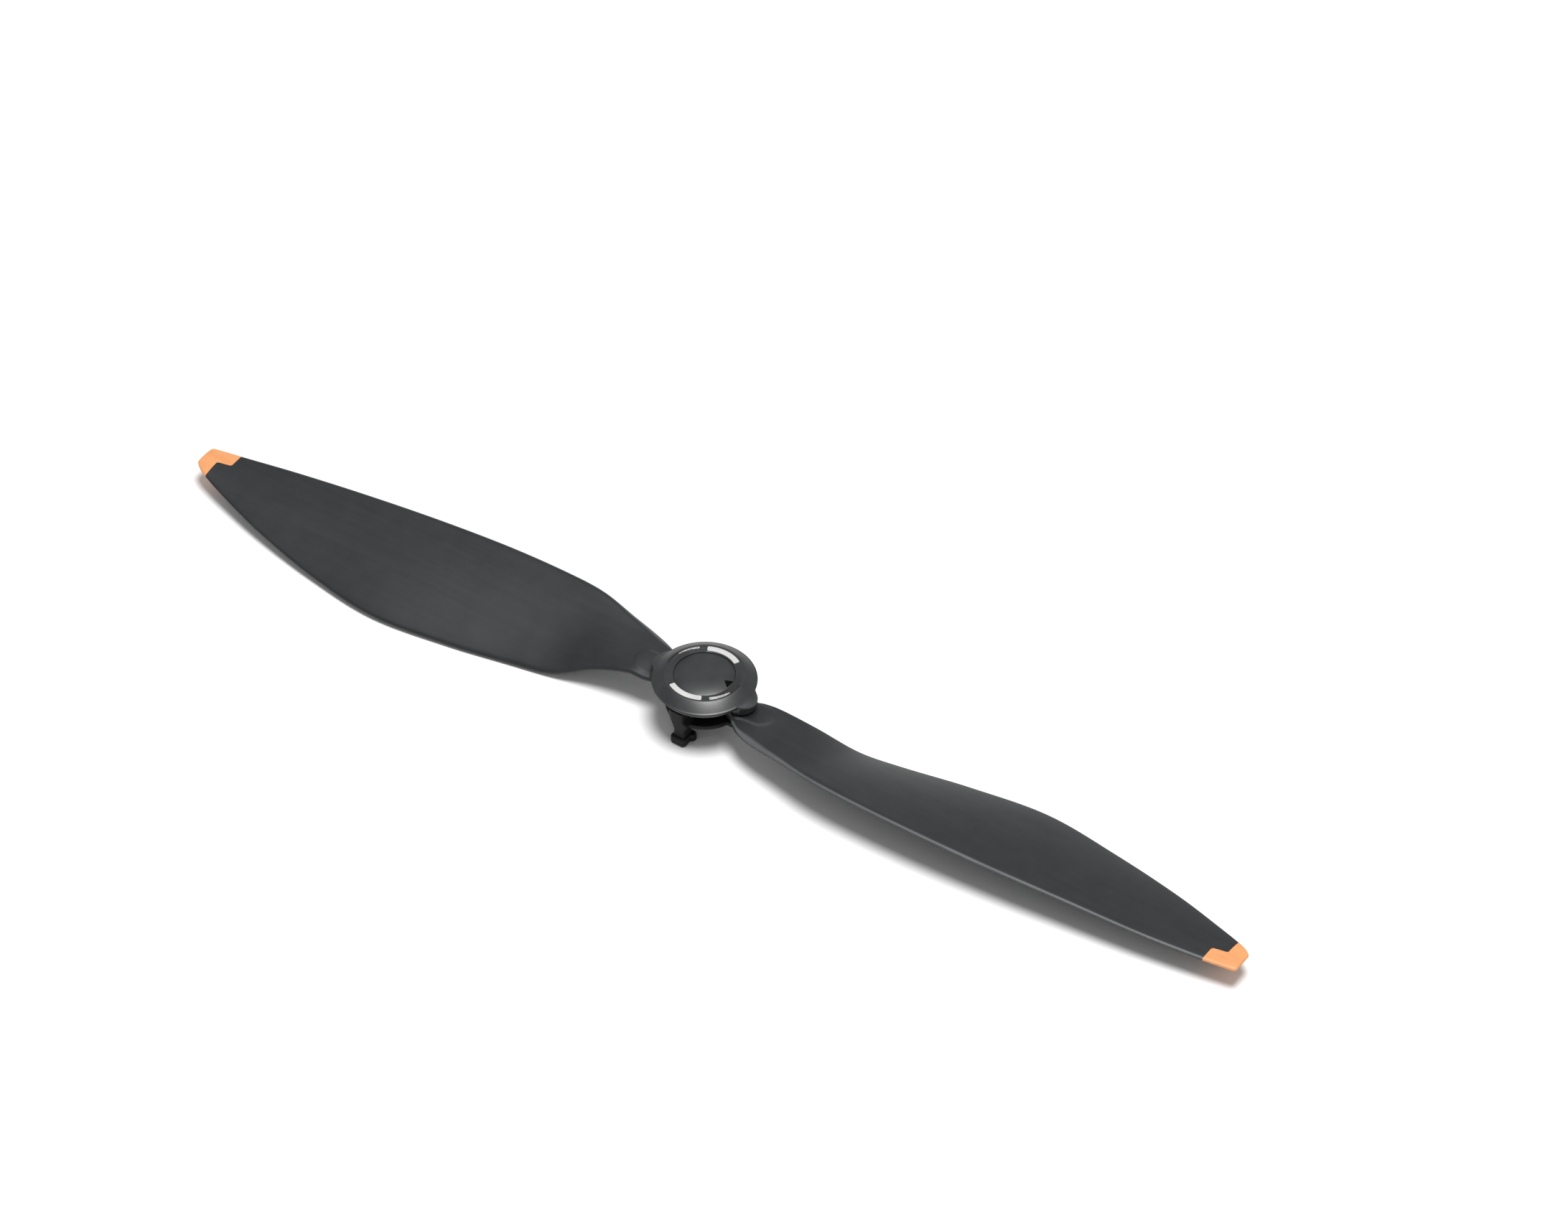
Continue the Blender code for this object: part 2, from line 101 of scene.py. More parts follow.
PLATE_EDGE = 0.22 * MM
BOSS_RADIUS = 3.6 * MM
BOSS_BORE = 2.75 * MM
UPPER_EAR_RADIUS = 3.0 * MM
LOWER_EAR_RADIUS = 2.8 * MM
PIVOT_RADIUS = (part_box("pivot_sleeve_a")[0].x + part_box("pivot_sleeve_a")[1].x) / 2

# Claws and the hardware on the pivots
CLAW_AZIMUTH = -91.0
LEG_INNER = 5.6 * MM
LEG_OUTER = 8.5 * MM
LEG_HALF_WIDTH = 1.15 * MM
LEG_CORNER = 0.45 * MM
BUSHING_RADII = (1.9 * MM, 2.6 * MM)
SLEEVE_RADII = (1.35 * MM, 1.75 * MM)
WASHER_RADII = (1.35 * MM, 2.6 * MM)
HARDWARE_EDGE = 0.06 * MM
PIVOT_HOLE = 1.35 * MM
SCREW_HEAD_RADIUS = 1.9 * MM
SCREW_HEAD_EDGE = 0.35 * MM
SCREW_SHOULDER_RADIUS = 1.15 * MM
SCREW_THREAD_RADIUS = 0.85 * MM
SOCKET_RADIUS = 0.78 * MM

# Inlaid arcs: centre and half span in degrees, width at the start and at the end
ARC_WIDTH = ARC_OUTER - ARC_INNER
PALE_NEAR = (-90.5, 30.5, ARC_WIDTH, ARC_WIDTH)
PALE_FAR = (89.5, 30.5, ARC_WIDTH, ARC_WIDTH)
GLOSS_NEAR = (-30.5, 17.5, 0.75 * MM, 0.35 * MM)
GLOSS_FAR = (149.5, 17.5, 0.45 * MM, 0.2 * MM)
INLAYS = (PALE_NEAR, GLOSS_NEAR, PALE_FAR, GLOSS_FAR)
POCKET_MARGIN = 0.5                             # degrees round each arc
POCKET_WALL = 0.15                              # degrees taken by a pocket's end wall

# Blade stations in millimetres: radius, leading reach, trailing reach, leading edge height,
# trailing edge height, thickness
STATIONS = (
    (9.0, 4.3, 2.8, 6.65, 6.65, 1.7),
    (11.5, 5.9, 3.7, 6.75, 6.75, 1.7),
    (15.0, 7.1, 4.0, 6.95, 6.85, 1.75),
    (22.0, 8.45, 5.35, 7.75, 4.85, 1.7),
    (30.0, 10.0, 7.6, 8.55, 1.2, 1.6),
    (38.0, 10.5, 9.25, 8.55, 0.6, 1.5),
    (52.0, 10.4, 12.05, 8.2, 0.65, 1.35),
    (68.0, 9.55, 13.95, 7.45, 0.9, 1.25),
    (84.0, 8.1, 12.0, 6.65, 1.4, 1.1),
    (100.0, 6.45, 8.5, 5.55, 2.6, 0.95),
    (112.0, 4.7, 4.8, 4.85, 3.7, 0.85),
    (119.4, 3.45, 2.1, 4.6, 4.65, 0.75),
)
BLADE_START = STATIONS[0][0] * MM
FINE_END = 18.0 * MM                            # rows are closer together up to here
TIP_RADIUS = 119.4 * MM
TIP_BLEND_START = 104.0 * MM
TIP_SEAM_INNER = 112.9 * MM
TIP_SEAM_OUTER = 115.9 * MM
TIP_SEAM_STEP = (0.1 * MM, 1.3 * MM)
SEAM_GAP = 0.02 * MM
TRAILING_CORNER = (3.2 * MM, 1.2 * MM)
LEADING_CORNER = (0.9 * MM, 0.6 * MM)
CAMBER = 0.03
EDGE_THICKNESS = (0.42, 0.95)                   # trailing and leading edge, of the thickness
NOSE_LENGTH = (0.35, 0.85)                      # rounding of both edges, of the thickness
ROOT_RADIUS = 3.1 * MM
PAD_END = 13.0 * MM                             # centre of the root pad's round outer end
PAD_HALF_WIDTH = 2.7 * MM
PAD_FADE = 0.6 * MM
PAD_RISE = 0.12 * MM
ROOT_BLEND = 0.5 * MM
ROOT_FLAT_RADIUS = 2.7 * MM                     # flat top of the root round its pivot
ROOT_CEILING_RADIUS = 3.0 * MM                  # the top may rise from here outward
ROOT_CEILING_SLOPE = 0.3
ROOT_BORE = 1.9 * MM
FULL_CAMBER_RADIUS = 30.0 * MM
CHORD_COUNT = 40

# Studio
FLOOR_HALF = 1.6
FLOOR_DROP = 0.02 * MM                          # keeps the feet's soles clear of the floor
WORLD_STRENGTH = 0.42
KEY_PLACE = (0.15, 0.02, 1.3)
KEY_SIZE = 0.6
KEY_POWER = 17.5


# ---------------------------------------------------------------- meshes

def smoothstep(value):
    value = min(1.0, max(0.0, value))
    return value * value * (3.0 - 2.0 * value)


def soft_max(first, second, blend):
    """The larger of two lengths, with a fillet of about blend where they meet."""
    share = max(blend - abs(first - second), 0.0) / blend
    return max(first, second) + share * share * blend / 4.0


def add_piece(name, bm, material, body, cad_nodes, sharp=38.0):
    """Shade a mesh, parent it to an empty named for its body and hide the CAD nodes it replaces."""
    bmesh.ops.remove_doubles(bm, verts=bm.verts, dist=1e-7)
    bmesh.ops.dissolve_degenerate(bm, edges=bm.edges, dist=1e-7)
    bmesh.ops.recalc_face_normals(bm, faces=bm.faces)
    mesh = bpy.data.meshes.new(name)
    bm.to_mesh(mesh)
    bm.free()
    mesh.shade_smooth()
    mesh.set_sharp_from_angle(angle=math.radians(sharp))
    mesh.materials.append(material)
    piece = bpy.data.objects.new(name, mesh)
    scene.collection.objects.link(piece)
    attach(piece, body)
    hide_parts(*cad_nodes)
    return piece


def helper(bm):
    """A temporary object for a Boolean."""
    bmesh.ops.recalc_face_normals(bm, faces=bm.faces)
    mesh = bpy.data.meshes.new("helper")
    bm.to_mesh(mesh)
    bm.free()
    item = bpy.data.objects.new("helper", mesh)
    scene.collection.objects.link(item)
    return item


def combined(base, steps):
    """Apply (operation, bmesh) Boolean steps to a bmesh and return the result as a bmesh."""
    bmesh.ops.remove_doubles(base, verts=base.verts, dist=1e-7)
    target = helper(base)
    others = []
    for operation, shape in steps:
        other = helper(shape)
        modifier = target.modifiers.new("cut", "BOOLEAN")
        modifier.operation = operation
        modifier.solver = "EXACT"
        modifier.object = other
        others.append(other)
    result = bmesh.new()
    result.from_object(target, bpy.context.evaluated_depsgraph_get())
    for item in [target] + others:
        mesh = item.data
        bpy.data.objects.remove(item)
        bpy.data.meshes.remove(mesh)
    return result


def revolved(profile_at, angles, closed=False):
    """Skin through one (radius, height) profile per angle; an open one ends on the axis."""
    bm = bmesh.new()
    first = profile_at(angles[0])
    poles = [] if closed else [bm.verts.new((0, 0, first[end][1])) for end in (0, -1)]
    columns = []
    for angle in angles:
        profile = profile_at(angle)
        inner = profile if closed else profile[1:-1]
        turn = math.radians(angle)
        columns.append([bm.verts.new((radius * math.cos(turn), radius * math.sin(turn), height))
                        for radius, height in inner])
    for column, follow in zip(columns, columns[1:] + columns[:1]):
        if closed:
            column, follow = column + column[:1], follow + follow[:1]
        else:
            bm.faces.new((poles[0], column[0], follow[0]))
            bm.faces.new((poles[1], follow[-1], column[-1]))
        for low, high in zip(range(len(column)), range(1, len(column))):
            bm.faces.new((column[low], column[high], follow[high], follow[low]))
    return bm


def even_angles(count):
    return [360.0 * step / count for step in range(count)]


def rounded_ring(inner, outer, bottom, top, edge, count=72):
    """Ring with its four edges rounded."""
    profile = []
    for radius, height, start in ((outer - edge, top - edge, 0), (inner + edge, top - edge, 90),
                                  (inner + edge, bottom + edge, 180),
                                  (outer - edge, bottom + edge, 270)):
        profile += arc_points((radius, height), edge, start, start + 90, 3)
    return revolved(lambda angle: profile, even_angles(count), closed=True)


def arc_points(centre, radius, start, end, steps):
    points = []
    for step in range(steps + 1):
        angle = math.radians(start + (end - start) * step / steps)
        points.append((centre[0] + radius * math.cos(angle),
                       centre[1] + radius * math.sin(angle)))
    return points


def rounded_box(x_low, x_high, y_low, y_high, corner, steps=5):
    points = []
    for index, (x, y) in enumerate((
            (x_high - corner, y_high - corner), (x_low + corner, y_high - corner),
            (x_low + corner, y_low + corner), (x_high - corner, y_low + corner))):
        points += arc_points((x, y), corner, 90 * index, 90 * index + 90, steps)
    return points


def inset_outline(outline, amount):
    """Move each point of a counter-clockwise outline inward along its normal."""
    moved_points = []
    count = len(outline)
    for index, point in enumerate(outline):
        before, after = Vector(outline[index - 1]), Vector(outline[(index + 1) % count])
        here = Vector(point)
        into, out = (here - before).normalized(), (after - here).normalized()
        normal = Vector((-(into + out).y, (into + out).x)).normalized()
        stretch = max(0.5, normal.dot(Vector((-into.y, into.x))))
        moved_points.append(here + normal * (amount / stretch))
    return moved_points


def rounded_prism(outline, bottom, top, edge, section=None, steps=3):
    """Prism with rounded top and bottom edges; section(height share) may scale its outline."""
    rows = []
    for step in range(steps + 1):
        angle = math.pi / 2 * step / steps
        rows.append((edge * (1 - math.sin(angle)), bottom + edge * (1 - math.cos(angle))))
    levels = 20 if section else 1
    for level in range(1, levels):
        rows.append((0.0, bottom + edge + (top - bottom - 2 * edge) * level / levels))
    for step in range(steps + 1):
        angle = math.pi / 2 * step / steps
        rows.append((edge * (1 - math.cos(angle)), top - edge * (1 - math.sin(angle))))
    bm = bmesh.new()
    loops = []
    for inset, height in rows:
        points = inset_outline(outline, inset)
        if section:
            points = [section(point, (height - bottom) / (top - bottom)) for point in points]
        loops.append([bm.verts.new((x, y, height)) for x, y in points])
    count = len(outline)
    for low, high in zip(loops, loops[1:]):
        for index in range(count):
            follow = (index + 1) % count
            bm.faces.new((low[index], low[follow], high[follow], high[index]))
    bm.faces.new(loops[0][::-1])
    bm.faces.new(loops[-1])
    return bm


def turned_by(bm, degrees):
    bmesh.ops.rotate(bm, verts=bm.verts, cent=(0, 0, 0),
                     matrix=Matrix.Rotation(math.radians(degrees), 3, "Z"))
    return bm


def moved(bm, x, y=0.0, z=0.0):
    bmesh.ops.translate(bm, verts=bm.verts, vec=(x, y, z))
    return bm


def cylinder(radius, bottom, top, count=64):
    profile = [(0.0, bottom), (radius, bottom), (radius, top), (0.0, top)]
    return revolved(lambda angle: profile, even_angles(count))


# ---------------------------------------------------------------- hub

def angle_gap(first, second):
    return (first - second + 180.0) % 360.0 - 180.0


def pocket_share(angle):
    """1 inside an arc's pocket, 0 outside."""
    share = 0.0
    for centre, half_span, _, _ in INLAYS:
        beyond = abs(angle_gap(angle, centre)) - half_span - POCKET_MARGIN
        share = max(share, min(1.0, max(0.0, 1.0 - beyond / POCKET_WALL)))
    return share


def inlay_inner(angle):
    """Inner radius of the arcs in a direction, carried on evenly from one arc to the next."""
    marks = []
    for centre, half_span, start_width, end_width in INLAYS:
        marks.append((centre - half_span, ARC_OUTER - start_width))
        marks.append((centre + half_span, ARC_OUTER - end_width))
    first, radius = marks[0]
    marks.append((first + 360.0, radius))
    angle = first + (angle - first) % 360.0
    for (low, inner), (high, follow) in zip(marks, marks[1:]):
        if angle <= high:
            return inner + (follow - inner) * (angle - low) / (high - low)
    return radius


def groove_depth(angle):
    """The shoulder's groove runs only beside the blades, from the glossy arcs' ends."""
    beside = angle_gap(2.0 * angle, 2.0 * GROOVE_MIDDLE) / 2.0
    return GROOVE_DEPTH * smoothstep((GROOVE_HALF_SPAN - abs(beside)) / 4.0 + 0.5)


def cap_angles():
    """One column each degree, closer by the ears, and two at each pocket's end wall."""
    angles = set(float(step) for step in range(0, 360))
    for centre, half_span, _, _ in INLAYS:
        for side in (-1, 1):
            end = centre + side * (half_span + POCKET_MARGIN)
            angles.add(round(end % 360.0, 4))
            angles.add(round((end + side * POCKET_WALL) % 360.0, 4))
    for ear in (0, 180):
        for step in range(-96, 97):
            angles.add(round((ear + step * 0.25) % 360.0, 4))
    return sorted(angles)


def ear_reach(angle):
    """Radius of an ear's outline in a direction, or 0 away from the ears."""
    turn = math.radians(angle_gap(2.0 * angle, 0.0) / 2.0)
    across = PIVOT_RADIUS * math.sin(turn)
    if abs(across) >= UPPER_EAR_RADIUS:
        return 0.0
    return PIVOT_RADIUS * math.cos(turn) + math.sqrt(UPPER_EAR_RADIUS ** 2 - across ** 2)


def cone_height(radius):
    """Height of the cap's flank, which bulges slightly, and of the ear's top beyond it."""
    share = (radius - CONE_START) / (CAP_RADIUS - CONE_START)
    if share <= 0.0:
        return PALE_TOP
    if share <= 1.0:
        return PALE_TOP - CONE_DROP * share ** 1.18
    return PALE_TOP - CONE_DROP - EAR_SLOPE * (radius - CAP_RADIUS)


def cap_profile(angle):
    """Cap surface in one direction, from the disc's pocket over the rim to the underside.

    The wall below the rim slopes inward, less so at the ears.
    """
    pocket = pocket_share(angle)
    ring = PALE_TOP - 0.02 * MM
    sunk = ring + (ARC_FLOOR - ring) * pocket
    reach = ear_reach(angle)
    outer = soft_max(CAP_RADIUS, reach, EAR_BLEND)
    on_ear = smoothstep((reach - CAP_RADIUS + 0.1 * MM) / (0.3 * MM))
    bottom = CAP_BOTTOM + (EAR_BOTTOM + 0.02 * MM - CAP_BOTTOM) * on_ear
    disc_wall = DISC_RADIUS + DISC_PLAY
    pocket_in, pocket_out = inlay_inner(angle) - POCKET_PLAY, ARC_OUTER + POCKET_PLAY
    groove = ring - groove_depth(angle)
    points = [(0.0, POCKET_FLOOR), (disc_wall - 0.02 * MM, POCKET_FLOOR),
              (disc_wall, POCKET_FLOOR + 0.02 * MM), (disc_wall, ring - 0.2 * MM),
              (disc_wall + 0.03 * MM, ring - 0.16 * MM),
              (pocket_in - 0.01 * MM, ring - 0.1 * MM), (pocket_in, sunk - 0.1 * MM),
              ((pocket_in + pocket_out) / 2, sunk), (pocket_out, sunk),
              (pocket_out + 0.01 * MM, ring), (GROOVE_RADIUS - GROOVE_TOP_HALF, ring),
              (GROOVE_RADIUS - GROOVE_FLOOR_HALF, groove),
              (GROOVE_RADIUS + GROOVE_FLOOR_HALF, groove), (GROOVE_RADIUS + GROOVE_TOP_HALF, ring)]
    flank_end = outer - RIM_EDGE
    for step in range(1, RIM_STEPS + 1):
        radius = CONE_START + (flank_end - CONE_START) * step / RIM_STEPS
        points.append((radius, cone_height(radius)))
    rim = cone_height(flank_end) - RIM_EDGE
    slope = math.degrees(math.atan2(CONE_DROP, CAP_RADIUS - CONE_START))
    points += arc_points((flank_end, rim), RIM_EDGE, 90 - slope * 0.6, 0, 5)
    undercut = (0.8 - 0.65 * on_ear) * MM
    points += arc_points((outer - WALL_FOOT - undercut, bottom + WALL_FOOT), WALL_FOOT, 0, -90, 3)
    points += [(CAP_RADIUS - 1.4 * MM, CAP_BOTTOM + (bottom - CAP_BOTTOM) * 0.5),
               (CAP_RADIUS - 2.2 * MM, CAP_BOTTOM + 0.05 * MM),
               (2.0 * MM, CAP_BOTTOM + 0.05 * MM), (0.0, CAP_BOTTOM + 0.05 * MM)]
    return points


def ear_outline(radius):
    return (arc_points((PIVOT_RADIUS, 0), radius, -90, 90, 24)
            + arc_points((-PIVOT_RADIUS, 0), radius, 90, 270, 24))


def add_cap(material):
    """Cap with its two ears, and a blind hole in each for a pivot screw."""
    bm = revolved(cap_profile, cap_angles())
    bar = rounded_prism(ear_outline(UPPER_EAR_RADIUS - 0.32 * MM), EAR_BOTTOM,
                        CAP_BOTTOM + 0.2 * MM, 0.08 * MM)
    steps = [("UNION", bar)]
    for x in (PIVOT_RADIUS, -PIVOT_RADIUS):
        steps.append(("DIFFERENCE", moved(cylinder(1.0 * MM, EAR_BOTTOM - MM,
                                                   EAR_BOTTOM + 1.3 * MM, 48), x)))
    add_piece("cap_shell", combined(bm, steps), material, "hub", ["hub_cap"])


def dome_height(radius):
    """Height of the domed centre disc's face."""
    share = min(1.0, radius / (DISC_RADIUS - DISC_EDGE))
    return DOME_TOP - (DOME_TOP - DISC_RIM) * share ** DOME_POWER


def on_dome(bm):
    """Shift a shape drawn below the shoulder's level so that it follows the dome."""
    for vert in bm.verts:
        vert.co.z += dome_height(vert.co.xy.length) - PALE_TOP
    return bm


def add_disc(material):
    """Domed centre with a rolled edge and the arrow's shallow pocket."""
    bottom = POCKET_FLOOR + 0.15 * MM
    profile = [(0.0, bottom), (DISC_RADIUS - 0.1 * MM, bottom), (DISC_RADIUS, bottom + 0.1 * MM)]
    profile += arc_points((DISC_RADIUS - DISC_EDGE, DISC_RIM - DISC_EDGE), DISC_EDGE, 0, 70, 6)
    for step in range(1, 25):
        radius = (DISC_RADIUS - DISC_EDGE) * (1.0 - step / 24)
        profile.append((radius, dome_height(radius)))
    bm = revolved(lambda angle: profile, even_angles(180))
    pocket = on_dome(rounded_prism(arrow_outline(0.1 * MM), PALE_TOP - 0.2 * MM, PALE_TOP + MM,
                                   0.02 * MM))
    add_piece("disc_dome", combined(bm, [("DIFFERENCE", pocket)]), material, "hub",
              ["centre_disc"])


def arrow_outline(grow=0.0):
    """Triangle with its base near the disc's rim beside blade a, pointing inward."""
    corners = [Vector(corner) * MM for corner in ARROW_CORNERS]
    middle = sum(corners, Vector((0, 0))) / 3
    points = []
    for index, corner in enumerate(corners):
        before, after = corners[index - 1], corners[(index + 1) % 3]
        out = (corner - middle).normalized() * grow * 1.4
        for share in (0.0, 0.5, 1.0):
            aim = before.lerp(after, share)
            points.append(corner.lerp(aim, 0.1 if share != 0.5 else 0.06) + out)
    return points


def add_arrow(material):
    bm = rounded_prism(arrow_outline(), PALE_TOP - 0.19 * MM, PALE_TOP - 0.06 * MM, 0.03 * MM)
    add_piece("arrow_mark", on_dome(bm), material, "hub", ["release_arrow"])


def arc_outline(centre, half_span, start_width, end_width):
    """Ring sector with small round corners, from one width to another."""
    steps = 40
    outer, inner = [], []
    for step in range(steps + 1):
        share = step / steps
        angle = math.radians(centre - half_span + 2 * half_span * share)
        width = start_width + (end_width - start_width) * share
        corner = min(share, 1 - share) * 2 * half_span * math.pi / 180 * ARC_OUTER
        radius = min(0.12 * MM, width * 0.4)
        pull = 0.0
        if corner < radius:
            pull = radius - math.sqrt(radius ** 2 - (radius - corner) ** 2)
        direction = Vector((math.cos(angle), math.sin(angle)))
        outer.append(direction * (ARC_OUTER - pull))
        inner.append(direction * (ARC_OUTER - width + pull))
    return outer + inner[::-1]


def add_arcs(pale, gloss):
    for name, node, material, slot, inlay in (
            ("pale_arc_near", "colour_arc_near", pale, "pale_mark", PALE_NEAR),
            ("pale_arc_far", "colour_arc_far", pale, "pale_mark", PALE_FAR),
            ("gloss_arc_inlay_near", "gloss_arc_near", gloss, "gloss_trim", GLOSS_NEAR),
            ("gloss_arc_inlay_far", "gloss_arc_far", gloss, "gloss_trim", GLOSS_FAR)):
        bm = rounded_prism(arc_outline(*inlay), ARC_FLOOR + 0.05 * MM, PALE_TOP, 0.03 * MM,
                           steps=2)
        add_piece(name, bm, material, "hub", [node])


def foot_outline():
    """Claw foot along +X: a bar across with round ends, and a round hook that reaches out."""
    corner, bar_corner = 0.75 * MM, 0.8 * MM
    bar_half, bar_in, bar_out = 2.25 * MM, 5.2 * MM, 6.9 * MM
    hook_half, reach = 1.7 * MM, 9.1 * MM
    side = bar_half - bar_corner
    half = arc_points((bar_in + bar_corner, side), bar_corner, 180, 90, 5)
    half += arc_points((bar_out - bar_corner, side), bar_corner, 90, 15, 5)
    half += [(bar_out + 0.15 * MM, hook_half - 0.1 * MM)]
    half += arc_points((reach - corner, hook_half - corner), corner, 90, 0, 6)
    return half[::-1] + [(x, -y) for x, y in half]


def leg_section(point, share):
    """Claw leg: waisted above the foot and flared where it joins the plate.

    The side that a blade folds towards is cut back again above the plate.
    """
    flare = 1.0 + 1.0 * smoothstep((share - 0.3) / 0.5) + 0.35 * smoothstep((0.2 - share) / 0.2)
    if point[1] > 0:
        flare += (0.8 - flare) * smoothstep((share - 0.58) / 0.16)
    return Vector((point[0], point[1] * flare))


def add_base(material):
    """Plate with two lower ears, a bored boss, a stiffening web and two claws."""
    plate = rounded_prism(arc_points((0, 0), PLATE_RADIUS, 0, 357, 119), PLATE_BOTTOM, PLATE_TOP,
                          PLATE_EDGE)
    steps = [("UNION", rounded_prism(ear_outline(LOWER_EAR_RADIUS), PLATE_BOTTOM + 0.01 * MM,
                                     PLATE_TOP - 0.01 * MM, PLATE_EDGE))]
    steps.append(("UNION", cylinder(BOSS_RADIUS, SEAT_HEIGHT, BOSS_TOP, 96)))
    web = rounded_box(-1.4 * MM, 1.4 * MM, -6.4 * MM, 6.4 * MM, 0.4 * MM)
    steps.append(("UNION", rounded_prism(web, PLATE_TOP - 0.4 * MM, BOSS_TOP - 0.1 * MM,
                                         0.15 * MM)))
    for turn in (CLAW_AZIMUTH, CLAW_AZIMUTH + 180.0):
        leg_outline = rounded_box(LEG_INNER, LEG_OUTER, -LEG_HALF_WIDTH, LEG_HALF_WIDTH, LEG_CORNER)
        leg = rounded_prism(leg_outline, FOOT_TOP / 2, BOSS_TOP - 0.2 * MM, 0.1 * MM, leg_section)
        foot = rounded_prism(foot_outline(), 0.0, FOOT_TOP, 0.42 * MM, steps=5)
        steps.append(("UNION", turned_by(leg, turn)))
        steps.append(("UNION", turned_by(foot, turn)))
    steps.append(("DIFFERENCE", cylinder(BOSS_BORE, SEAT_HEIGHT - MM, BOSS_TOP + MM, 96)))
    for x in (PIVOT_RADIUS, -PIVOT_RADIUS):
        hole = moved(cylinder(PIVOT_HOLE, PLATE_BOTTOM - MM, PLATE_TOP + MM, 48), x)
        steps.append(("DIFFERENCE", hole))
    add_piece("claw_base", combined(plate, steps), material, "hub", ["hub_base"])


def add_bushing(material):
    bottom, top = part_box("motor_bushing")[0].z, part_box("motor_bushing")[1].z
    bm = rounded_ring(*BUSHING_RADII, bottom, top, 0.12 * MM, 96)
    add_piece("bushing_sleeve", bm, material, "hub", ["motor_bushing"])


def add_pivot_parts(letter, side, steel, polymer):
    """Shoulder screw with a hexagonal socket, bearing sleeve and two washers."""
    x = side * PIVOT_RADIUS
    low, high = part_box(f"pivot_screw_{letter}")
    head_top = PLATE_BOTTOM - 0.15 * MM
    shoulder_top = EAR_BOTTOM - 0.15 * MM
    profile = [(0.0, low.z), (1.4 * MM, low.z)]
    profile += arc_points((SCREW_HEAD_RADIUS - SCREW_HEAD_EDGE, low.z + SCREW_HEAD_EDGE),
                          SCREW_HEAD_EDGE, -90, 0, 6)
    profile += [(SCREW_HEAD_RADIUS, head_top - 0.06 * MM),
                (SCREW_HEAD_RADIUS - 0.06 * MM, head_top), (SCREW_SHOULDER_RADIUS, head_top),
                (SCREW_SHOULDER_RADIUS, shoulder_top - 0.05 * MM),
                (SCREW_SHOULDER_RADIUS - 0.05 * MM, shoulder_top),
                (SCREW_THREAD_RADIUS, shoulder_top), (SCREW_THREAD_RADIUS, high.z - 0.25 * MM),
                (SCREW_THREAD_RADIUS - 0.2 * MM, high.z), (0.0, high.z)]
    screw = revolved(lambda angle: profile, even_angles(96))
    socket = revolved(lambda angle: [(0.0, low.z - MM), (SOCKET_RADIUS, low.z - MM),
                                     (SOCKET_RADIUS, low.z + 0.5 * MM), (0.0, low.z + 0.65 * MM)],
                      even_angles(6))
    screw = combined(screw, [("DIFFERENCE", socket)])
    add_piece(f"shoulder_screw_{letter}", moved(screw, x), steel, "hub",
              [f"pivot_screw_{letter}"], 30.0)
    low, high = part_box(f"pivot_sleeve_{letter}")
    sleeve = moved(rounded_ring(*SLEEVE_RADII, low.z, high.z, HARDWARE_EDGE), x)
    add_piece(f"bearing_sleeve_{letter}", sleeve, steel, f"blade_arm_{letter}",
              [f"pivot_sleeve_{letter}"])
    for place in ("lower", "upper"):
        low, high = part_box(f"{place}_washer_{letter}")
        washer = moved(rounded_ring(*WASHER_RADII, low.z, high.z, HARDWARE_EDGE), x)
        add_piece(f"slip_washer_{place}_{letter}", washer, polymer, "hub",
                  [f"{place}_washer_{letter}"])


# ---------------------------------------------------------------- blades

def smooth_value(radius, column):
    """Station value at a radius in millimetres, on a Catmull-Rom curve."""
    last = len(STATIONS) - 1
    index = 0
    while index < last - 1 and radius > STATIONS[index + 1][0]:
        index += 1
    start, end = STATIONS[index], STATIONS[index + 1]
    before = STATIONS[max(index - 1, 0)]
    after = STATIONS[min(index + 2, last)]
    span = end[0] - start[0]
    share = (radius - start[0]) / span
    slope_in = (end[column] - before[column]) / (end[0] - before[0]) * span
    slope_out = (after[column] - start[column]) / (after[0] - start[0]) * span
    square, cube = share ** 2, share ** 3
    return ((2 * cube - 3 * square + 1) * start[column] + (cube - 2 * square + share) * slope_in
            + (3 * square - 2 * cube) * end[column] + (cube - square) * slope_out)


def corner_cut(radius, corner):
    """How far the end rounding pulls an edge in, for a corner of (length, depth)."""
    length, depth = corner
    share = max(0.0, (radius - (TIP_RADIUS - length)) / length)
    return depth * (1.0 - math.sqrt(max(0.0, 1.0 - min(share, 1.0) ** 2)))


def edge_reaches(radius):
    """Leading and trailing reach, with the root disc's outline near the pivot."""
    station = max(radius, BLADE_START) / MM
    lead = smooth_value(station, 1) * MM - corner_cut(radius, LEADING_CORNER)
    trail = smooth_value(station, 2) * MM - corner_cut(radius, TRAILING_CORNER)
    if radius < BLADE_START:
        lead -= (BLADE_START - radius) * 1.1
        trail -= (BLADE_START - radius) * 0.4
    disc = math.sqrt(max(0.0, ROOT_RADIUS ** 2 - (radius - PIVOT_RADIUS) ** 2))
    if radius < PIVOT_RADIUS + ROOT_RADIUS:
        if radius < BLADE_START - 2.0 * MM:
            return disc, disc
        lead, trail = soft_max(lead, disc, ROOT_BLEND), soft_max(trail, disc, ROOT_BLEND)
    return lead, trail


def nose(distance, length):
    """Share of the thickness left at a distance from an edge that is rounded over length."""
    share = min(1.0, max(0.0, distance / length))
    return math.sqrt(1.0 - (1.0 - share) ** 2)


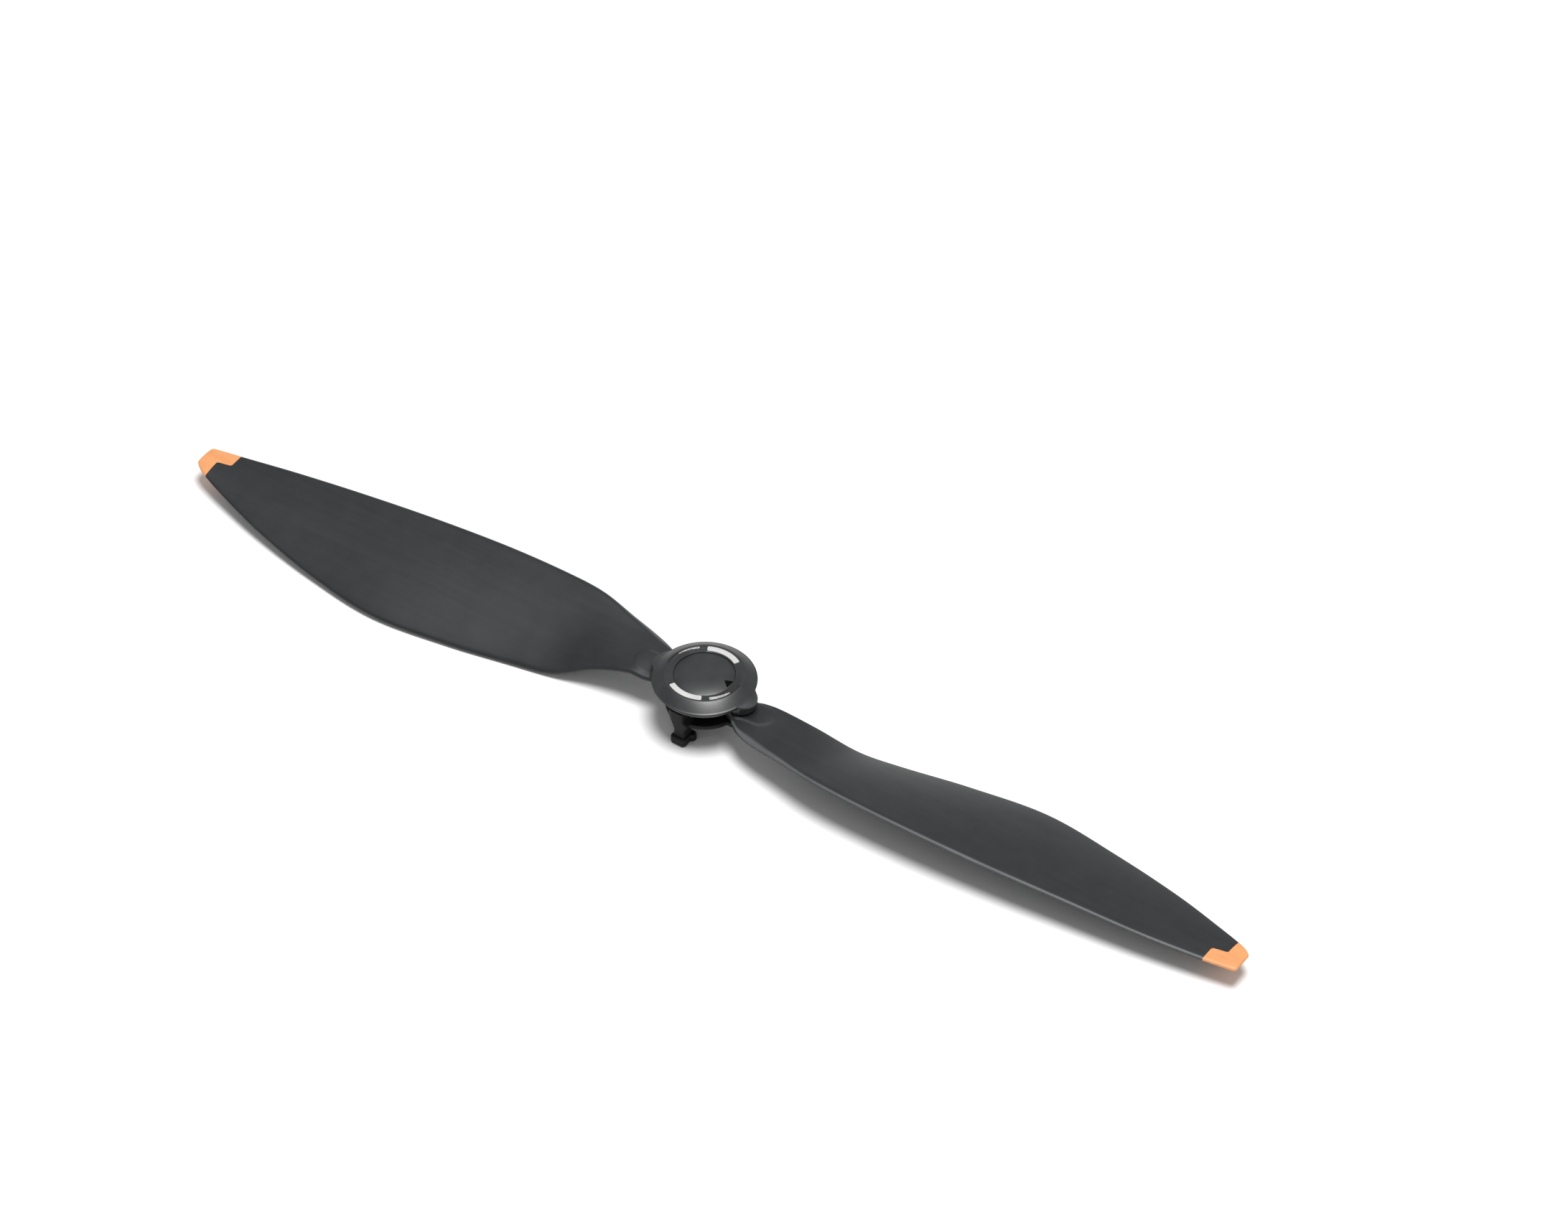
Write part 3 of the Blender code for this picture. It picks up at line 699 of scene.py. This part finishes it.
def section_point(radius, share, side):
    """Blade surface point; share is 0 at the trailing edge, side is 1 on top, -1 below.

    Near its pivot the section thickens into the root's flat disc, and the pad rises over it.
    """
    lead, trail = edge_reaches(radius)
    station = max(radius, BLADE_START) / MM
    lead_height = smooth_value(station, 3) * MM
    trail_height = smooth_value(station, 4) * MM
    thickness = smooth_value(station, 5) * MM
    chord = lead + trail
    reach = -trail + chord * share
    bulge = 4.0 * share * (1.0 - share)
    edge = EDGE_THICKNESS[0] + (EDGE_THICKNESS[1] - EDGE_THICKNESS[0]) * share ** 3
    middle = trail_height + (lead_height - trail_height) * share
    middle += CAMBER * chord * bulge * min(1.0, radius / FULL_CAMBER_RADIUS)
    half = 0.5 * thickness * (edge + (1.0 - edge) * math.sqrt(bulge))
    from_pivot = math.hypot(max(0.0, radius - PIVOT_RADIUS), reach)
    if side > 0:
        distance = math.hypot(max(0.0, radius - PAD_END), reach)
        half += PAD_RISE * (1.0 - smoothstep((distance - PAD_HALF_WIDTH) / PAD_FADE + 0.5))
        core = 1.0 - smoothstep((from_pivot - ROOT_FLAT_RADIUS) / (0.8 * MM))
        half += (ROOT_TOP - middle - half) * core
        rise = max(0.0, from_pivot - ROOT_CEILING_RADIUS) * ROOT_CEILING_SLOPE
        half = min(half, ROOT_TOP - middle + rise)
    else:
        core = 1.0 - smoothstep((from_pivot - ROOT_RADIUS + 0.5 * MM) / PAD_FADE + 0.5)
        half += (middle - ROOT_BOTTOM - half) * core
    trail_nose, lead_nose = NOSE_LENGTH
    lead_nose = trail_nose + (lead_nose - trail_nose) * smoothstep((radius - 10.0 * MM) / (5 * MM))
    half *= nose(chord * share, trail_nose * thickness)
    half *= nose(chord * (1.0 - share), lead_nose * thickness)
    half *= nose(TIP_RADIUS - radius, 0.5 * thickness)
    return Vector((radius, -reach, middle + side * half))


def seam_radius(share):
    """Radius of the S-shaped seam between blade and tip at a chord share."""
    point = section_point(TIP_SEAM_INNER, share, 1)
    low, high = TIP_SEAM_STEP
    across = smoothstep((high + point.y) / (high - low))
    return TIP_SEAM_INNER + (TIP_SEAM_OUTER - TIP_SEAM_INNER) * across


def chord_shares():
    return [0.5 - 0.5 * math.cos(math.pi * step / CHORD_COUNT) for step in range(CHORD_COUNT + 1)]


def loft(radii_at):
    """Closed skin through sections; radii_at(share) lists the row radii at a chord share."""
    bm = bmesh.new()
    shares = chord_shares()
    ladders = [radii_at(share) for share in shares]
    loops = []
    for row in range(len(ladders[0])):
        upper = [section_point(ladder[row], share, 1) for ladder, share in zip(ladders, shares)]
        lower = [section_point(ladder[row], share, -1) for ladder, share in zip(ladders, shares)]
        loops.append([bm.verts.new(point) for point in upper + lower[-2:0:-1]])
    count = len(loops[0])
    for inner, outer in zip(loops, loops[1:]):
        for index in range(count):
            follow = (index + 1) % count
            bm.faces.new((inner[index], inner[follow], outer[follow], outer[index]))
    for end in (loops[0], loops[-1]):
        bm.faces.new((end[0], end[1], end[-1]))
        bm.faces.new((end[CHORD_COUNT - 1], end[CHORD_COUNT], end[CHORD_COUNT + 1]))
        for index in range(1, CHORD_COUNT - 1):
            bm.faces.new((end[index], end[index + 1], end[-index - 1], end[-index]))
    return bm


def blade_ladder(share):
    """Row radii of the blade: fine round the root pad, coarser outward, bent to the seam."""
    start = PIVOT_RADIUS - ROOT_RADIUS
    radii = []
    for step in range(1, 13):
        radii.append(PIVOT_RADIUS - ROOT_RADIUS * math.cos(math.pi / 2 * step / 12))
    for step in range(1, 39):
        radii.append(PIVOT_RADIUS + (FINE_END - PIVOT_RADIUS) * step / 38)
    for step in range(1, 109):
        radii.append(FINE_END + (TIP_BLEND_START - FINE_END) * step / 108)
    seam = seam_radius(share)
    for step in range(1, 19):
        radii.append(TIP_BLEND_START + (seam - TIP_BLEND_START) * step / 18)
    return [max(radius, start) for radius in radii]


def tip_ladder(share):
    """Row radii of the tip, from just beyond the seam and closer towards the end."""
    start = seam_radius(share) + SEAM_GAP
    return [start + (TIP_RADIUS - start) * math.sin(step / 24 * math.pi / 2)
            for step in range(25)]


def add_blade(letter, turn, blade_material, tip_material):
    """Blade skin, bored for its sleeve, and the orange tip beyond the seam."""
    bore = moved(cylinder(ROOT_BORE, ROOT_BOTTOM - MM, ROOT_TOP + MM), PIVOT_RADIUS)
    blade = turned_by(combined(loft(blade_ladder), [("DIFFERENCE", bore)]), turn)
    body = f"blade_arm_{letter}"
    add_piece(f"blade_skin_{letter}", blade, blade_material, body, [f"blade_{letter}"])
    tip = turned_by(loft(tip_ladder), turn)
    add_piece(f"tip_skin_{letter}", tip, tip_material, body, [f"blade_tip_{letter}"])


# ---------------------------------------------------------------- materials

class Nodes:
    """Short hand for building one material's node tree in object coordinates."""

    def __init__(self, name):
        self.material = bpy.data.materials.new(name)
        self.material.use_nodes = True
        self.tree = self.material.node_tree
        self.shader = self.tree.nodes["Principled BSDF"]
        coordinates = self.tree.nodes.new("ShaderNodeTexCoord")
        self.place = coordinates.outputs["Object"]
        self.normal = coordinates.outputs["Normal"]

    def set(self, **values):
        for key, value in values.items():
            self.shader.inputs[key.replace("_", " ")].default_value = value

    def link(self, source, target):
        self.tree.links.new(source, target)

    def stretched(self, scale):
        """Object coordinates scaled by a different amount on each axis, per metre."""
        mapping = self.tree.nodes.new("ShaderNodeMapping")
        mapping.inputs["Scale"].default_value = scale
        self.link(self.place, mapping.inputs["Vector"])
        return mapping.outputs["Vector"]

    def noise(self, scale, detail=3.0, vector=None, roughness=0.5):
        node = self.tree.nodes.new("ShaderNodeTexNoise")
        node.inputs["Scale"].default_value = scale
        node.inputs["Detail"].default_value = detail
        node.inputs["Roughness"].default_value = roughness
        self.link(vector or self.place, node.inputs["Vector"])
        return node.outputs["Fac"]

    def maths(self, operation, first, second=0.0):
        node = self.tree.nodes.new("ShaderNodeMath")
        node.operation = operation
        for socket, value in zip(node.inputs, (first, second)):
            if isinstance(value, (int, float)):
                socket.default_value = value
            else:
                self.link(value, socket)
        return node.outputs["Value"]

    def ranged(self, value, start, end, low, high):
        """Map start to end onto low to high, and clamp."""
        node = self.tree.nodes.new("ShaderNodeMapRange")
        for name, amount in (("From Min", start), ("From Max", end), ("To Min", low),
                             ("To Max", high)):
            node.inputs[name].default_value = amount
        self.link(value, node.inputs["Value"])
        return node.outputs["Result"]

    def between(self, value, low, high):
        """Map a noise's middle range onto low to high."""
        return self.ranged(value, 0.3, 0.7, low, high)

    def vector(self, operation, first, second=None):
        """Vector maths; SCALE takes a number or value as its second input."""
        node = self.tree.nodes.new("ShaderNodeVectorMath")
        node.operation = operation
        sockets = (node.inputs[0], node.inputs["Scale" if operation == "SCALE" else 1])
        for socket, value in zip(sockets, (first, second)):
            if isinstance(value, (int, float, Vector)):
                socket.default_value = value
            elif value is not None:
                self.link(value, socket)
        return node.outputs["Value" if operation == "DISTANCE" else "Vector"]

    def part(self, vector, axis):
        node = self.tree.nodes.new("ShaderNodeSeparateXYZ")
        self.link(vector, node.inputs["Vector"])
        return node.outputs[axis]

    def ramp(self, value, dark, light):
        """Colour from dark to light as a noise goes through its middle range."""
        node = self.tree.nodes.new("ShaderNodeValToRGB")
        for element, place, colour in zip(node.color_ramp.elements, (0.3, 0.7), (dark, light)):
            element.position = place
            element.color = (*colour, 1.0)
        self.link(value, node.inputs["Fac"])
        return node.outputs["Color"]

    def tint(self, value, dark, light):
        self.link(self.ramp(value, dark, light), self.shader.inputs["Base Color"])

    def rough(self, value, low, high):
        self.link(self.between(value, low, high), self.shader.inputs["Roughness"])

    def bump(self, value, height, strength=1.0):
        node = self.tree.nodes.new("ShaderNodeBump")
        node.inputs["Strength"].default_value = strength
        node.inputs["Distance"].default_value = height
        self.link(value, node.inputs["Height"])
        self.link(node.outputs["Normal"], self.shader.inputs["Normal"])


def mottled(nodes, grain_size, grain_share=0.25, streaks=None):
    """A value that wanders broadly, along optional flow streaks, and from grain to grain."""
    value = nodes.noise(1 / (3.5 * MM), 4.0)
    grain = nodes.noise(1 / grain_size, 3.0, roughness=0.6)
    if streaks:
        flow = nodes.noise(1.0, 3.0, nodes.stretched(streaks))
        value = nodes.maths("ADD", nodes.maths("MULTIPLY", value, 0.5),
                            nodes.maths("MULTIPLY", flow, 0.5))
    value = nodes.maths("ADD", nodes.maths("MULTIPLY", value, 1.0 - grain_share),
                        nodes.maths("MULTIPLY", grain, grain_share))
    return value, grain


def plastic(name, dark, light, roughness, grain_size, grain_height, grain_share=0.25,
            streaks=None, specular=0.5):
    """Moulded plastic: broad mottling, optional flow streaks, and a fine grain."""
    nodes = Nodes(name)
    nodes.set(Specular_IOR_Level=specular)
    value, grain = mottled(nodes, grain_size, grain_share, streaks)
    nodes.tint(value, dark, light)
    nodes.rough(grain, *roughness)
    nodes.bump(grain, grain_height)
    return nodes.material


def make_hub_plastic():
    """Satin plastic with painted shade: darker patches beside the blades, at the disc's edge."""
    nodes = Nodes("satin_hub_plastic")
    value, grain = mottled(nodes, 0.13 * MM, 0.45)
    colour = nodes.ramp(value, (0.008, 0.0085, 0.0095), (0.026, 0.0275, 0.0295))
    # Painted shade: the colour is darkened to 0.6 in ragged patches on either side of the blade
    # axis, near the disc's edge.
    folded = nodes.vector("ABSOLUTE", nodes.place)
    reach = nodes.vector("DISTANCE", folded, Vector((6.0, 1.2, 11.5)) * MM)
    ragged = nodes.maths("ADD", reach, nodes.maths("MULTIPLY", nodes.noise(900.0, 4.0), 2.5 * MM))
    painted_shade_patch = nodes.ranged(ragged, 2.2 * MM, 4.0 * MM, 0.6, 1.0)
    nodes.link(nodes.vector("SCALE", colour, painted_shade_patch), nodes.shader.inputs["Base Color"])
    nodes.set(Specular_IOR_Level=0.66)
    nodes.rough(grain, 0.33, 0.45)
    nodes.bump(grain, 0.012 * MM)
    return nodes.material


def make_base_plastic():
    """Duller and blacker than the cap's plastic."""
    return plastic("black_base_plastic", (0.005, 0.005, 0.006), (0.012, 0.012, 0.013),
                   (0.5, 0.65), 0.15 * MM, 0.01 * MM, specular=0.2)


def make_blade_plastic():
    """Grained plastic with flow streaks; a painted highlight makes the rounded nose of the leading
    edge paler.
    """
    nodes = Nodes("grained_blade_plastic")
    value, grain = mottled(nodes, 0.13 * MM, 0.35, (35.0, 900.0, 300.0))
    colour = nodes.ramp(value, (0.006, 0.0075, 0.0085), (0.017, 0.0195, 0.021))
    # Painted highlight: colour is added where the normal leans out of the leading edge and partly
    # up, along the nose.
    side = nodes.part(nodes.place, "X")
    facing = nodes.part(nodes.normal, "Y")
    lead = nodes.maths("MULTIPLY", facing, nodes.maths("MULTIPLY", nodes.maths("SIGN", side), -1.0))
    edge = nodes.maths("MULTIPLY", nodes.ranged(lead, 0.1, 0.4, 0.0, 1.0),
                       nodes.ranged(nodes.part(nodes.normal, "Z"), 0.25, 0.5, 0.0, 1.0))
    painted_nose_highlight = nodes.vector("SCALE", Vector((0.085, 0.087, 0.09)),
                        nodes.maths("MULTIPLY", edge, nodes.between(value, 0.7, 1.2)))
    nodes.link(nodes.vector("ADD", colour, painted_nose_highlight), nodes.shader.inputs["Base Color"])
    nodes.rough(grain, 0.4, 0.52)
    nodes.bump(grain, 0.008 * MM)
    return nodes.material


def make_orange():
    return plastic("orange_tip_plastic", (0.63, 0.255, 0.09), (0.82, 0.365, 0.145),
                   (0.38, 0.48), 0.2 * MM, 0.006 * MM, 0.4, (120.0, 900.0, 300.0))


def make_pale():
    return plastic("pale_arc_plastic", (0.47, 0.475, 0.47), (0.64, 0.64, 0.63),
                   (0.3, 0.42), 0.25 * MM, 0.008 * MM)


def make_gloss():
    """Silvery inlay; its streaks from near black to silver are a painted reflection."""
    nodes = Nodes("silver_inlay")
    flow = nodes.noise(1.0, 4.0, nodes.stretched((3800.0, 1500.0, 400.0)), 0.65)
    # Painted reflection: the tint runs in streaks from near black to silver.
    nodes.tint(flow, (0.1, 0.1, 0.105), (0.8, 0.8, 0.79))
    nodes.rough(flow, 0.3, 0.14)
    nodes.set(Metallic=0.25)
    nodes.bump(nodes.noise(1 / (0.3 * MM), 2.0), 0.01 * MM)
    return nodes.material


def make_arrow_black():
    return plastic("arrow_black", (0.001, 0.001, 0.001), (0.004, 0.004, 0.004),
                   (0.75, 0.9), 0.12 * MM, 0.01 * MM, specular=0.05)


def make_steel():
    """Turned steel: fine rings round the axis of each part show as thin height bands."""
    nodes = Nodes("turned_steel")
    bands = nodes.noise(1.0, 3.0, nodes.stretched((900.0, 900.0, 14000.0)))
    nodes.tint(bands, (0.42, 0.42, 0.43), (0.62, 0.62, 0.63))
    nodes.rough(bands, 0.22, 0.38)
    nodes.set(Metallic=1.0)
    nodes.bump(bands, 0.004 * MM)
    return nodes.material


def make_polymer():
    return plastic("washer_polymer", (0.016, 0.016, 0.017), (0.03, 0.03, 0.031), (0.35, 0.5),
                   0.2 * MM, 0.006 * MM)


# ---------------------------------------------------------------- studio

def add_camera():
    """The photograph's viewpoint and focal length; depth of field stays off."""
    data = bpy.data.cameras.new("camera")
    data.sensor_width = SENSOR
    data.lens = SENSOR * FOCAL_PIXELS / IMAGE_WIDTH
    data.clip_start = 0.05
    data.clip_end = 20.0
    camera = bpy.data.objects.new("camera", data)
    back = CAMERA_RIGHT.cross(CAMERA_UP)
    turn = Matrix((CAMERA_RIGHT, CAMERA_UP, back)).transposed().to_4x4()
    camera.matrix_world = Matrix.Translation(CAMERA_PLACE) @ turn
    scene.collection.objects.link(camera)
    scene.camera = camera


def add_floor():
    bm = bmesh.new()
    bmesh.ops.create_grid(bm, x_segments=1, y_segments=1, size=FLOOR_HALF)
    moved(bm, 0.0, 0.0, -FLOOR_DROP)
    mesh = bpy.data.meshes.new("floor")
    bm.to_mesh(mesh)
    bm.free()
    floor = bpy.data.objects.new("floor", mesh)
    scene.collection.objects.link(floor)
    nodes = Nodes("studio_floor")
    nodes.tint(nodes.noise(40.0, 2.0), (0.9, 0.9, 0.9), (0.91, 0.91, 0.91))
    nodes.set(Roughness=0.5)
    mesh.materials.append(nodes.material)


def area_light(name, place, target, size, power):
    data = bpy.data.lights.new(name, "AREA")
    data.shape = "DISK"
    data.size = size
    data.energy = power
    light = bpy.data.objects.new(name, data)
    light.location = place
    aim = Vector(target) - Vector(place)
    light.rotation_euler = aim.to_track_quat("-Z", "Y").to_euler()
    scene.collection.objects.link(light)


def add_light():
    world = bpy.data.worlds.new("studio")
    world.use_nodes = True
    background = world.node_tree.nodes["Background"]
    background.inputs["Color"].default_value = (1.0, 1.0, 1.0, 1.0)
    background.inputs["Strength"].default_value = WORLD_STRENGTH
    scene.world = world
    area_light("overhead", KEY_PLACE, (0, 0, 0), KEY_SIZE, KEY_POWER)


add_camera()
add_floor()
add_light()
scene.view_settings.view_transform = "Standard"

hub_plastic = make_hub_plastic()
steel_finish = make_steel()
polymer_finish = make_polymer()
blade_plastic = make_blade_plastic()
orange_plastic = make_orange()
add_cap(hub_plastic)
add_disc(hub_plastic)
add_arcs(make_pale(), make_gloss())
add_arrow(make_arrow_black())
add_base(make_base_plastic())
add_bushing(steel_finish)
for arm, (letter, side) in enumerate((("a", 1), ("b", -1))):
    add_pivot_parts(letter, side, steel_finish, polymer_finish)
    add_blade(letter, 180.0 * arm, blade_plastic, orange_plastic)
